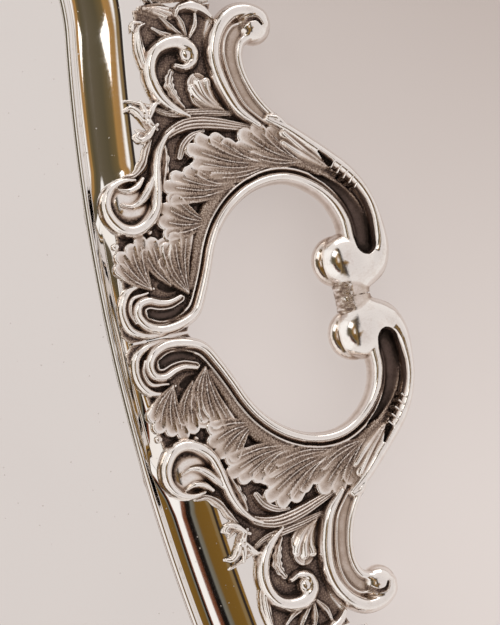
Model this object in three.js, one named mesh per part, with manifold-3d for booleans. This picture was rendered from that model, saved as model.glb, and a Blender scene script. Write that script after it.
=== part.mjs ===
// Two-handled silver serving tray: one formed plate with a coved border, cast rococo handles made
// of front and back halves, and cast scroll and shell castings soldered round the border.
// Millimetres, +Z up, long axis on X, the flat underside on z = 0.
import * as THREE from 'three';
import { mergeVertices } from 'three/addons/utils/BufferGeometryUtils.js';
import Module from 'manifold-3d';

const wasm = await Module();
wasm.setup();

// ---- plate outline: incurved ends, rounded shoulders, gently bowed long sides
const FIELD_HALF_LENGTH = 272;
const FIELD_HALF_WIDTH = 185;
const END_RADIUS = 640;
const END_ANGLE = THREE.MathUtils.degToRad(9);
const SHOULDER_RADIUS = 65;

// ---- plate section
const SHEET = 1.4;
const STEP_WIDTH = 3;
const STEP_RISE = 1.2;
const COVE_WIDTH = 11.5;
const FLANGE_TOP = 10.2;
const FLANGE_REACH = 46;

// ---- castings
const GAP = 0.3;
const SEAT = FLANGE_TOP + GAP;
const GROUND = 1.8;
const SEAM = SEAT - GAP / 2;
const BORDER_MID = 37;
const MOULDING_RADIUS = 2.1;
const ARM_BOTTOM = 5.4;
const ARM_TOP = 16.6;
const POCKET_DEPTH = 4;
const SCROLL_TOP = 15.2;
const BEVEL = 0.9;
const HANDLE_SET = -3.5;
const MAIN_BALL = { x: 83, y: 11.6, radius: 8.5 };
const SCROLL_BALL = { x: 69.8, y: 91, radius: 5.8 };
const JOINT_RADIUS = 6;
const CORNER_START = THREE.MathUtils.degToRad(86);
const CORNER_SPLITS = [112, 149].map(THREE.MathUtils.degToRad);
const SIDE_CENTRE_HALF = 34;
const RIM_SPLIT_X = 212;
const RIM_SPLIT_Y = 104;

// ---- flange under a handle, which reaches in over the cove; x outward from the field edge
const TONGUE_EDGE = [
  [32, 50], [19.5, 50], [13, 45.4], [8.4, 39], [5.8, 30], [4.6, 20], [4, 10], [3.8, 0],
];

// ---- handle drawing, one half, x outward from near the field edge, y away from the handle's axis
const OPENING_EDGE = [
  [26, 0], [30, 4.4], [34.2, 9.5], [37.3, 16], [40, 22.5], [43.2, 28.2], [47.5, 33], [53.5, 37],
  [60, 39.2], [67, 39.2], [73.5, 36.5], [79, 31.5], [81.5, 25], [80, 20.5], [75.5, 16.5],
  [74.3, 10], [76, 4], [77, 0],
];
const GROUND_EDGE = [
  [28, 0.25], [8, 0.25], [6.5, 4], [7.5, 10], [9.5, 15], [9.5, 30], [8.8, 37], [9, 44], [12, 48.5],
  [20, 51], [25, 57], [23, 66], [24, 75], [31, 77], [30.5, 85], [33, 93], [32, 103.3],
  [58.3, 101.3], [54, 92], [53, 84], [54, 76], [58, 66], [66, 58], [76, 48], [79, 41], [73, 40.5],
  [64, 42], [57, 40.8], [50, 37], [44.3, 32], [40.3, 25.4], [37.2, 18], [34, 11.5], [31, 5.5],
];
const MOULDING_LINE = [
  [84.5, 18], [84.5, 24], [82, 30.3], [77.3, 36], [71, 40.2], [64, 41.4], [56.8, 40], [50, 36.4],
  [44.3, 31.4], [40.3, 25], [37.2, 17.8], [34, 11.3], [30, 6.4], [25, 3.5], [18, 2.7], [12.5, 3.7],
  [9.7, 7.2], [10.6, 11], [14.6, 12.4], [18.5, 10],
];
const ARM_EDGE = [
  [66, 63], [70, 61], [75, 57], [80.5, 51], [86, 45.5], [91, 40], [94.8, 33.5], [97.3, 27],
  [98, 20], [97.2, 14], [94.8, 8.4], [91, 4.8], [87, 3.6], [82, 8], [89, 9.4], [92.6, 13],
  [93.8, 20], [92.8, 27], [90, 33], [85.8, 38.5], [80.6, 43.5], [75.5, 48], [70.5, 53], [63, 58.5],
];
const POCKET_EDGE = [
  [86, 12], [92, 11], [93.5, 15], [94.6, 20], [93.4, 27], [90.6, 33], [86.4, 38.5], [81.2, 43.5],
  [76, 48], [70, 50], [66, 44], [71, 41], [77.5, 37], [82.5, 31], [85, 25], [85, 18],
];
const SCROLL_EDGE = [
  [63, 57], [57.4, 65], [54.2, 72], [52.5, 78], [52, 84], [53.5, 90], [56.5, 95], [61, 98.5],
  [66, 100], [71, 98.8], [75, 96], [75.5, 91], [70, 88], [65.5, 87], [64, 82], [64, 76],
  [65.2, 70], [67.5, 65.5], [71.5, 60],
];
const SCROLL_GROOVE = [
  [62, 66.5], [59.3, 72], [57.6, 78], [57.3, 84], [58.6, 89.5], [62, 93.5], [63.5, 91], [61.8, 85],
  [61.2, 78], [62.4, 72], [64.8, 67],
];
const SWEEP_LINE = [
  [19.5, 41.5], [16.3, 44.2], [12.6, 42.4], [12, 38.6], [15, 35.5], [20, 35.2], [24.5, 38],
  [26.6, 43], [28.2, 49], [31, 56], [36.2, 61.3], [43, 63], [50, 62.6], [57, 60.6], [63.5, 58],
];
const HOOK_LINE = [
  [40, 71], [35.2, 77], [33.2, 84.5], [35.4, 91.6], [41.2, 94.6], [46.8, 92.4], [48, 87.2],
  [44.6, 84], [41, 86.2],
];
const FAN_EDGE = [
  [36, 20], [33, 13.5], [28.5, 13], [27.5, 19], [25.2, 23], [27, 27.5], [24.6, 32.5], [28.2, 35],
  [27, 40], [34, 42.4], [42, 42], [50, 38.6], [44, 33.5], [39.3, 26.4],
];
const LEAF_EDGE = [
  [77, 46], [70, 44], [60, 44.2], [48, 43.2], [37, 44.5], [34, 48.4], [39, 50.3], [37.5, 54.4],
  [43.5, 56], [48.6, 59], [54, 57], [59.6, 58.6], [65, 56.2], [71, 52],
];
const SPRAY_EDGE = [
  [58, 64], [48, 65.6], [38, 67.4], [33, 70], [37, 75], [43.4, 77.4], [47, 83], [51, 81], [53, 73],
];

// ---- outline arithmetic
const endCentreX = FIELD_HALF_LENGTH + END_RADIUS;
const shoulderX = endCentreX - (END_RADIUS + SHOULDER_RADIUS) * Math.cos(END_ANGLE);
const shoulderY = (END_RADIUS + SHOULDER_RADIUS) * Math.sin(END_ANGLE);
const sideRise = FIELD_HALF_WIDTH - SHOULDER_RADIUS - shoulderY;
const SIDE_ANGLE = 2 * Math.atan(sideRise / shoulderX);
const SIDE_RADIUS = SHOULDER_RADIUS + shoulderX / Math.sin(SIDE_ANGLE);
const SHOULDER_START = Math.PI / 2 - END_ANGLE;
const SHOULDER_END = Math.PI - SIDE_ANGLE;

function endPoint(angle, offset) {
  const r = END_RADIUS - offset;
  return [endCentreX - r * Math.cos(angle), r * Math.sin(angle)];
}

function shoulderPoint(heading, offset) {
  const r = SHOULDER_RADIUS + offset;
  return [shoulderX + r * Math.sin(heading), shoulderY - r * Math.cos(heading)];
}

function sidePoint(angle, offset) {
  const r = SIDE_RADIUS + offset;
  return [r * Math.sin(angle), FIELD_HALF_WIDTH - SIDE_RADIUS + r * Math.cos(angle)];
}

function range(from, to, count) {
  return Array.from({ length: count }, (unused, i) => from + ((to - from) * i) / count);
}

function quarterOutline(offset) {
  return [
    ...range(0, END_ANGLE, 4).map((a) => endPoint(a, offset)),
    ...range(SHOULDER_START, SHOULDER_END, 10).map((a) => shoulderPoint(a, offset)),
    ...range(SIDE_ANGLE, 0, 3).map((a) => sidePoint(a, offset)),
    sidePoint(0, offset),
  ];
}

function trayOutline(offset) {
  const quarter = quarterOutline(offset);
  const inner = quarter.slice(1, -1);
  const mirror = (points, sx, sy) => points.map(([x, y]) => [x * sx, y * sy]);
  return [
    ...quarter,
    ...mirror(inner, -1, 1).reverse(),
    ...mirror(quarter.slice(0, 1), -1, 1),
    ...mirror(inner, -1, -1),
    ...mirror(quarter.slice(-1), 1, -1),
    ...mirror(inner, 1, -1).reverse(),
  ];
}

// A point on the border of one quarter: run measured round the border, reach out from the field.
const SHOULDER_RUN = (SHOULDER_END - CORNER_START) * (SHOULDER_RADIUS + BORDER_MID);
const SIDE_RUN = SIDE_ANGLE * (SIDE_RADIUS + BORDER_MID);
const QUARTER_RUN = SHOULDER_RUN + SIDE_RUN;

function borderPoint(run, reach) {
  if (run <= SHOULDER_RUN) {
    return shoulderPoint(CORNER_START + run / (SHOULDER_RADIUS + BORDER_MID), reach);
  }
  return sidePoint(SIDE_ANGLE - (run - SHOULDER_RUN) / (SIDE_RADIUS + BORDER_MID), reach);
}

// ---- solids
function solid(geometry) {
  const bare = geometry.clone();
  bare.deleteAttribute('normal');
  bare.deleteAttribute('uv');
  const merged = mergeVertices(bare, 1e-4);
  return new wasm.Manifold(new wasm.Mesh({
    numProp: 3,
    vertProperties: new Float32Array(merged.attributes.position.array),
    triVerts: new Uint32Array(merged.index.array),
  }));
}

function slab(points, bottom, top, bevel = 0, segments = 1) {
  const shape = new THREE.Shape(points.map(([x, y]) => new THREE.Vector2(x, y)));
  const geometry = new THREE.ExtrudeGeometry(shape, {
    depth: top - bottom - 2 * bevel,
    bevelEnabled: bevel > 0,
    bevelThickness: bevel,
    bevelSize: bevel,
    bevelOffset: -bevel,
    bevelSegments: segments,
  });
  geometry.translate(0, 0, bottom + bevel);
  return solid(geometry);
}

function bowl(offset, reach, bottom, top, extra) {
  const shape = new THREE.Shape(trayOutline(offset).map(([x, y]) => new THREE.Vector2(x, y)));
  const geometry = new THREE.ExtrudeGeometry(shape, {
    depth: extra,
    bevelEnabled: true,
    bevelThickness: top - bottom,
    bevelSize: reach,
    bevelOffset: 0,
    bevelSegments: 4,
  });
  geometry.translate(0, 0, top);
  const room = box(900, 700, bottom - 1, top + extra);
  return solid(geometry).intersect(room);
}

function box(length, width, bottom, top) {
  const geometry = new THREE.BoxGeometry(length, width, top - bottom);
  geometry.translate(0, 0, (bottom + top) / 2);
  return solid(geometry);
}

function rod(points, z, radius, sides, steps) {
  const path = new THREE.CatmullRomCurve3(points.map(([x, y]) => new THREE.Vector3(x, y, z)));
  const section = new THREE.Shape(range(0, 2 * Math.PI, sides).map(
    (a) => new THREE.Vector2(radius * Math.cos(a), radius * Math.sin(a)),
  ));
  return solid(new THREE.ExtrudeGeometry(section, { steps, extrudePath: path }));
}

// A flat strip of constant width along a curve, with its upper edges bevelled.
function ribbon(points, halfWidth, bottom, top, steps) {
  const curve = new THREE.SplineCurve(points.map(([x, y]) => new THREE.Vector2(x, y)));
  const side = (sign) => range(0, 1, steps).concat(1).map((u) => {
    const at = curve.getPoint(u);
    const along = curve.getTangent(u);
    return [at.x - sign * halfWidth * along.y, at.y + sign * halfWidth * along.x];
  });
  return slab([...side(1), ...side(-1).reverse()], bottom, top, BEVEL);
}

function ball([x, y], z, radius, around = 10, down = 8) {
  const geometry = new THREE.SphereGeometry(radius, around, down);
  geometry.rotateX(Math.PI / 2);
  geometry.translate(x, y, z);
  return solid(geometry);
}

function union(parts) {
  return parts.reduce((sum, part) => sum.add(part));
}

function addMesh(group, name, body, colour, roughness) {
  const { vertProperties, triVerts } = body.getMesh();
  const geometry = new THREE.BufferGeometry();
  geometry.setAttribute('position', new THREE.BufferAttribute(vertProperties, 3));
  geometry.setIndex(new THREE.BufferAttribute(triVerts, 1));
  geometry.computeVertexNormals();
  const material = new THREE.MeshStandardMaterial({ color: colour, roughness, metalness: 1 });
  const mesh = new THREE.Mesh(geometry, material);
  mesh.name = name;
  group.add(mesh);
}

// ---- plate: the flat field, and the coved rim in eight lengths round it
function fieldPlate() {
  return slab(trayOutline(-GAP / 2), 0, SHEET);
}

function rimRing() {
  const pan = bowl(2.4, COVE_WIDTH + 2.2, 0, FLANGE_TOP - SHEET, 0.5);
  const flange = slab(trayOutline(FLANGE_REACH), FLANGE_TOP - SHEET, FLANGE_TOP);
  const well = bowl(STEP_WIDTH, COVE_WIDTH, SHEET + STEP_RISE, FLANGE_TOP, 5);
  const field = slab(trayOutline(GAP / 2), -1, FLANGE_TOP);
  const sheet = pan.add(flange).subtract(well).subtract(field);
  return [1, -1].reduce((body, end) => {
    const tongue = slab(tongueOutline(end, 0), SHEET, FLANGE_TOP);
    const hollow = slab(tongueOutline(end, SHEET), -1, FLANGE_TOP - SHEET);
    const opening = slab(openingOutline(end), SHEET, FLANGE_TOP + 1);
    return body.add(tongue).subtract(hollow).subtract(opening);
  }, sheet);
}

function rimLength(ring, sx, sy) {
  const reach = [450, 350];
  const split = [RIM_SPLIT_X, RIM_SPLIT_Y];
  const spans = [sx, sy].map((sign, axis) => {
    if (sign === 0) {
      return [-split[axis] + GAP / 2, split[axis] - GAP / 2];
    }
    return sign > 0 ? [split[axis], reach[axis]] : [-reach[axis], -split[axis]];
  });
  const geometry = new THREE.BoxGeometry(
    spans[0][1] - spans[0][0],
    spans[1][1] - spans[1][0],
    2 * FLANGE_TOP + 2,
  );
  geometry.translate((spans[0][0] + spans[0][1]) / 2, (spans[1][0] + spans[1][1]) / 2, 0);
  return ring.intersect(solid(geometry));
}

function wholeLoop(edge, end, shift) {
  const mirrored = edge.filter(([, y]) => y > 0).map(([x, y]) => [x, -y]).reverse();
  const loop = [...edge, ...mirrored];
  return loop.map(([x, y]) => [end * (FIELD_HALF_LENGTH + shift + x), end * y]);
}

function tongueOutline(end, inset) {
  const edge = TONGUE_EDGE.map(([x, y]) => [x + inset, Math.max(0, y - inset)]);
  return wholeLoop(edge, end, 0);
}

function openingOutline(end) {
  const edge = OPENING_EDGE.map(([x, y]) => [x < 60 ? x - 3 : x, y > 0 ? y + 2.5 : 0]);
  return wholeLoop(edge.reverse(), end, HANDLE_SET);
}

// ---- handles
function placer(end, side) {
  return ([x, y]) => [end * (FIELD_HALF_LENGTH + HANDLE_SET + x), end * side * y];
}

function armBody(place) {
  const at = (points) => points.map(place);
  return union([
    slab(at(ARM_EDGE), ARM_BOTTOM, ARM_TOP, 1.6),
    slab(at(POCKET_EDGE), ARM_BOTTOM + 2.2, ARM_TOP - POCKET_DEPTH),
    rod(at(MOULDING_LINE.slice(0, 8)), SEAM, MOULDING_RADIUS + 0.5, 6, 9),
    ball(place([MAIN_BALL.x, MAIN_BALL.y]), SEAM, MAIN_BALL.radius),
  ]);
}

function scrollBody(place) {
  const at = (points) => points.map(place);
  return union([
    slab(at(SCROLL_EDGE), SEAM - 3.4, SCROLL_TOP, 1.4),
    ball(place([SCROLL_BALL.x, SCROLL_BALL.y]), SEAM, SCROLL_BALL.radius, 10, 6),
  ]);
}

function frontCasting(place) {
  const at = (points) => points.map(place);
  const above = box(1200, 900, SEAT, 60);
  const relief = union([
    slab(at(GROUND_EDGE), SEAT, SEAT + GROUND),
    rod(at(MOULDING_LINE), SEAT + 2.3, MOULDING_RADIUS, 6, 22),
    ribbon(at(SWEEP_LINE), 2.3, SEAT, SEAT + 5, 18),
    ribbon(at(HOOK_LINE), 2, SEAT, SEAT + 4.4, 11),
    slab(at(FAN_EDGE), SEAT, SEAT + 3.8, BEVEL),
    slab(at(LEAF_EDGE), SEAT, SEAT + 4.4, BEVEL),
    slab(at(SPRAY_EDGE), SEAT, SEAT + 3.2, BEVEL),
    ball(place([27.5, 70]), SEAT + 0.6, 2.8, 8, 6),
  ]);
  const groove = slab(at(SCROLL_GROOVE), SCROLL_TOP - 2.2, SCROLL_TOP + 1);
  const scroll = scrollBody(place).subtract(groove);
  return union([relief, armBody(place), scroll]).intersect(above);
}

function backCasting(place) {
  const below = box(1200, 900, 0, SEAM - 0.15);
  const seat = slab(trayOutline(FLANGE_REACH + GAP), FLANGE_TOP - SHEET - GAP, 30);
  const body = union([armBody(place), scrollBody(place)]);
  return body.intersect(below).subtract(seat);
}

function solderJoint(end) {
  const collar = new THREE.CylinderGeometry(JOINT_RADIUS, JOINT_RADIUS, 12, 12);
  collar.translate(end * (FIELD_HALF_LENGTH + HANDLE_SET + MAIN_BALL.x), 0, SEAM);
  const sides = [1, -1].map((side) => placer(end, side));
  const clear = sides.flatMap((place) => [
    ball(place([MAIN_BALL.x, MAIN_BALL.y]), SEAM, MAIN_BALL.radius + GAP),
    slab(ARM_EDGE.map(place), ARM_BOTTOM - GAP, ARM_TOP + GAP, 1.6),
  ]);
  return clear.reduce((rest, tool) => rest.subtract(tool), solid(collar));
}

// ---- border castings
function borderPlacer(sx, sy, from) {
  return ([run, reach]) => {
    const [x, y] = borderPoint(from + run, reach);
    return [sx * x, sy * y];
  };
}

function scrollRun(place, length) {
  const f = (points) => points.map(([s, t]) => place([GAP / 2 + s * (length - GAP), t]));
  const edge = [
    [0, 24], [0.12, 22.5], [0.25, 25.5], [0.42, 22], [0.6, 25], [0.8, 22], [1, 24], [1, 49],
    [0.88, 51], [0.74, 54], [0.6, 52], [0.5, 49.5], [0.38, 52], [0.24, 54], [0.1, 51], [0, 49],
  ];
  const curl = [
    [0.27, 48], [0.13, 46], [0.1, 38], [0.24, 31], [0.45, 28], [0.68, 30.5], [0.86, 38],
    [0.85, 45.5], [0.72, 48.5],
  ];
  return slab(f(edge), SEAT, SEAT + GROUND).add(ribbon(f(curl), 1.8, SEAT + 0.5, SEAT + 4.4, 12));
}

function shellCasting(place, length) {
  const f = (points) => points.map(([s, t]) => place([GAP / 2 + s * (length - GAP), t]));
  const edge = [
    [0, 24], [0.2, 22], [0.35, 24], [0.5, 20], [0.65, 24], [0.8, 22], [1, 24], [1, 49],
    [0.9, 52], [0.78, 57], [0.65, 59], [0.5, 61], [0.35, 59], [0.22, 57], [0.1, 52], [0, 49],
  ];
  const fan = [
    [0.5, 25], [0.62, 30], [0.78, 38], [0.82, 46], [0.74, 51], [0.68, 55], [0.58, 55.5],
    [0.5, 58], [0.42, 55.5], [0.32, 55], [0.26, 51], [0.18, 46], [0.22, 38], [0.38, 30],
  ];
  const boss = ball(place([length / 2, 28]), SEAT + 1.5, 4, 8, 6);
  const body = slab(f(edge), SEAT, SEAT + GROUND).add(slab(f(fan), SEAT + 0.5, SEAT + 4.8, BEVEL)).add(boss);
  return body.intersect(box(1200, 900, SEAT, 40));
}

// ---- assembly
const group = new THREE.Group();
group.name = 'serving_tray';
addMesh(group, 'tray_field', fieldPlate(), 0xd9d4cf, 0.12);
const rimLengths = [
  ['end_right', 1, 0], ['end_left', -1, 0], ['side_rear', 0, 1], ['side_front', 0, -1],
  ['corner_right_rear', 1, 1], ['corner_left_rear', -1, 1],
  ['corner_left_front', -1, -1], ['corner_right_front', 1, -1],
];
const ring = rimRing();
for (const [name, sx, sy] of rimLengths) {
  addMesh(group, `rim_${name}`, rimLength(ring, sx, sy), 0xd6d0ca, 0.12);
}

for (const [endName, end] of [['right', 1], ['left', -1]]) {
  for (const [sideName, side] of [['a', 1], ['b', -1]]) {
    const place = placer(end, side);
    addMesh(group, `handle_front_${endName}_${sideName}`, frontCasting(place), 0xcfc8c0, 0.22);
    addMesh(group, `handle_back_${endName}_${sideName}`, backCasting(place), 0xc9c2ba, 0.26);
  }
  addMesh(group, `handle_joint_${endName}`, solderJoint(end), 0xb8b0a6, 0.5);
}

const corners = [['right_rear', 1, 1], ['left_rear', -1, 1], ['left_front', -1, -1],
  ['right_front', 1, -1]];
const runAt = (heading) => (heading - CORNER_START) * (SHOULDER_RADIUS + BORDER_MID);
const stops = [0, runAt(CORNER_SPLITS[0]), runAt(CORNER_SPLITS[1]), SHOULDER_RUN];
const sideStop = (QUARTER_RUN - SIDE_CENTRE_HALF - SHOULDER_RUN) / 2;
for (const [name, sx, sy] of corners) {
  const at = (from) => borderPlacer(sx, sy, from);
  const first = scrollRun(at(stops[0]), stops[1] - stops[0]);
  const shell = shellCasting(at(stops[1]), stops[2] - stops[1]);
  const second = scrollRun(at(stops[2]), stops[3] - stops[2]);
  addMesh(group, `end_scroll_${name}`, first, 0xcfc8c0, 0.25);
  addMesh(group, `corner_shell_${name}`, shell, 0xd2cbc3, 0.24);
  addMesh(group, `corner_scroll_${name}`, second, 0xcfc8c0, 0.25);
  const outer = scrollRun(at(SHOULDER_RUN), sideStop);
  const inner = scrollRun(at(SHOULDER_RUN + sideStop), sideStop);
  addMesh(group, `side_scroll_outer_${name}`, outer, 0xcdc6be, 0.25);
  addMesh(group, `side_scroll_inner_${name}`, inner, 0xcdc6be, 0.25);
}

for (const [name, sy] of [['rear', 1], ['front', -1]]) {
  const place = ([run, reach]) => {
    const [x, y] = sidePoint((run - SIDE_CENTRE_HALF) / (SIDE_RADIUS + BORDER_MID), reach);
    return [x, sy * y];
  };
  addMesh(group, `side_shell_${name}`, shellCasting(place, 2 * SIDE_CENTRE_HALF), 0xd2cbc3, 0.24);
}

export default group;
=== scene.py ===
"""Looks of a two-handled silver serving tray: mirror plate, coved rim and cast rococo ornament.

Sizes are millimetres until a mesh is made. The castings are reliefs: heights above the seam plane
of the handles, painted stroke by stroke on a grid, with the oxide that stays in their hollows.
"""

import math

import bmesh
import bpy
import numpy as np
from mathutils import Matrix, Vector


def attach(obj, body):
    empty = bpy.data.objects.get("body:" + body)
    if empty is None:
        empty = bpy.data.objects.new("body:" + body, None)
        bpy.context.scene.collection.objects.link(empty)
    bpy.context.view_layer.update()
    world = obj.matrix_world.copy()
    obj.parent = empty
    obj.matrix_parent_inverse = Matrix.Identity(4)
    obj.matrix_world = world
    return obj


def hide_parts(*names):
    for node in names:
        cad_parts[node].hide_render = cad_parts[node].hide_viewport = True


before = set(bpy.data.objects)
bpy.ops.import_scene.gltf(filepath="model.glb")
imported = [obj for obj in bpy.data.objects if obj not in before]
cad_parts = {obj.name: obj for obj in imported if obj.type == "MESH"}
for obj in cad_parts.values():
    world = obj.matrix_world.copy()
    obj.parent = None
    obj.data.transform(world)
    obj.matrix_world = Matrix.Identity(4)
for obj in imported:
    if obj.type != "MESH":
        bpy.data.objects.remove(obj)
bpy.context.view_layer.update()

MM = 0.001

# ---- plan and section of the plate, as in the CAD part
FIELD_HALF_LENGTH = 272.0
FIELD_HALF_WIDTH = 185.0
END_RADIUS = 640.0
END_ANGLE = math.radians(9)
SHOULDER_RADIUS = 65.0
SHEET = 1.4
FLANGE_TOP = 10.2
SEAM = 10.35
SEAM_LAP = 0.15
HANDLE_SET = -3.5
BORDER_MID = 37.0
CORNER_START = math.radians(86)
CORNER_SPLITS = (math.radians(112), math.radians(149))
SIDE_CENTRE_HALF = 34.0

END_CENTRE_X = FIELD_HALF_LENGTH + END_RADIUS
SHOULDER_X = END_CENTRE_X - (END_RADIUS + SHOULDER_RADIUS) * math.cos(END_ANGLE)
SHOULDER_Y = (END_RADIUS + SHOULDER_RADIUS) * math.sin(END_ANGLE)
SIDE_ANGLE = 2 * math.atan((FIELD_HALF_WIDTH - SHOULDER_RADIUS - SHOULDER_Y) / SHOULDER_X)
SIDE_RADIUS = SHOULDER_RADIUS + SHOULDER_X / math.sin(SIDE_ANGLE)
SHOULDER_START = math.pi / 2 - END_ANGLE
SHOULDER_END = math.pi - SIDE_ANGLE
SHOULDER_RUN = (SHOULDER_END - CORNER_START) * (SHOULDER_RADIUS + BORDER_MID)
SIDE_RUN = SIDE_ANGLE * (SIDE_RADIUS + BORDER_MID)

# ---- plate section
BEAD_START = 0.3
BEAD_WIDTH = 2.5
BEAD_RISE = 0.75
LAND_RISE = 0.9
LAND_ROUND = 0.8
GROOVE_DEPTH = 0.35
COVE_START = 2.8
HANDLE_LENGTH = 105.0

# slope of the cove in degrees, against the share of its width
COVE_SLOPES = ((0, 35), (0.09, 41), (0.23, 56), (0.3, 53), (0.76, 38), (0.82, 34), (0.92, 22),
               (1, 5))
# distance from the handle's axis, against the end of the cove and the edge of the flange
TONGUE = ((0, 4.1), (10, 4.4), (20, 5.2), (30, 6.8), (38, 9.4), (44, 13.8), (50, 17.4),
          (56, 18.8))
NECK = ((0, 17), (4.4, 21), (9.5, 24.5), (16, 28), (22.5, 31), (28, 34), (34, 40), (39, 46))

# ---- solder collar between the two balls of a handle
JOINT_CENTRE = 83.2
JOINT_RADIUS = 5.1
JOINT_WIDE = 1.08
JOINT_FLAT = 0.92
JOINT_HALF_LENGTH = 5.0
JOINT_FLARE = 0.3
JOINT_LUMPS = 0.25

# ---- relief grids: cell sizes, ground, punch marks, and how strongly hollows hold oxide
FINE = 0.22
BORDER_STEP = 0.35
COARSE = 0.45
GROUND_HEIGHT = 1.0
GROUND_TONE = 0.5
PUNCH_PITCH = 0.75
PUNCH_DEPTH = 0.35
HANDLE_OXIDE = 0.66
BACK_OXIDE = 0.5
BORDER_OXIDE = 0.75


# ======== relief engine
def spline(points, spacing=0.6):
    """Points close together on a smooth curve through the given ones."""
    p = np.asarray(points, float)
    p = np.vstack([2 * p[0] - p[1], p, 2 * p[-1] - p[-2]])
    out = []
    for a, b, c, d in zip(p[:-3], p[1:-2], p[2:-1], p[3:]):
        count = max(2, int(np.hypot(*(c - b)) / spacing))
        t = np.linspace(0, 1, count, endpoint=False)[:, None]
        out.append(0.5 * (2 * b + (c - a) * t + (2 * a - 5 * b + 4 * c - d) * t**2
                          + (3 * b - a - 3 * c + d) * t**3))
    return np.vstack(out + [p[-2:-1]])


def half_round(q):
    return np.sqrt(np.clip(1 - q * q, 0, 1))


def plump(q):
    return np.clip(1 - np.abs(q) ** 2.6, 0, 1) ** 0.6


def double_line(q):
    """A broad round with a fine fillet on its right side."""
    rounds = np.maximum(half_round((q - 0.27) / 0.73), 0.74 * half_round((q + 0.76) / 0.24))
    return np.maximum(rounds, 0.35 * (np.abs(q) < 0.96))


def ribbed(count, depth):
    """A lobe section cut by grooves that run along it."""
    def section(q):
        groove = 0.5 - 0.5 * np.cos(math.pi * count * (q + 1))
        return plump(q) * (1 - depth * groove**1.5)
    return section


def hollow(q):
    """A leaflet section, dished between two sharp ridges."""
    return (0.74 + 0.26 * np.abs(q) ** 1.6) * np.sqrt(np.clip(1 - np.abs(q) ** 9, 0, 1))


def shingle(count, depth):
    """A flat leaf section that tilts over its neighbour, with grooves that run along it."""
    def section(q):
        groove = np.abs(np.cos(math.pi * count * (q + 1) / 2)) ** 6
        return (0.76 + 0.24 * q) * np.clip(1 - np.abs(q) ** 10, 0, 1) ** 0.5 * (1 - depth * groove)
    return section


def blur(field, sigma):
    """Gaussian blur, in cells, through the frequency plane."""
    pad = int(3 * sigma) + 2
    wide = np.pad(field, pad, mode="edge")
    fy = np.fft.fftfreq(wide.shape[0])[:, None]
    fx = np.fft.rfftfreq(wide.shape[1])[None, :]
    gain = np.exp(-2 * (math.pi * sigma) ** 2 * (fx**2 + fy**2))
    return np.fft.irfft2(np.fft.rfft2(wide) * gain, wide.shape)[pad:-pad, pad:-pad]


def punched(x, y, pitch):
    """Rows of small round punch marks, none quite in line: 1 on a mark, 0 between marks."""
    best = np.full(x.shape, 9.0)
    cx, cy = np.floor(x / pitch), np.floor(y / pitch)
    for i in (-1, 0, 1):
        for j in (-1, 0, 1):
            gx, gy = cx + i, cy + j
            sx = np.modf(np.sin(gx * 12.99 + gy * 78.23) * 4375.5)[0]
            sy = np.modf(np.sin(gx * 39.35 + gy * 11.14) * 2316.7)[0]
            d = np.hypot(x / pitch - gx - 0.5 - 0.35 * sx, y / pitch - gy - 0.5 - 0.35 * sy)
            best = np.minimum(best, d)
    return np.clip(1 - (best / 0.5) ** 2, 0, 1)


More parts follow.
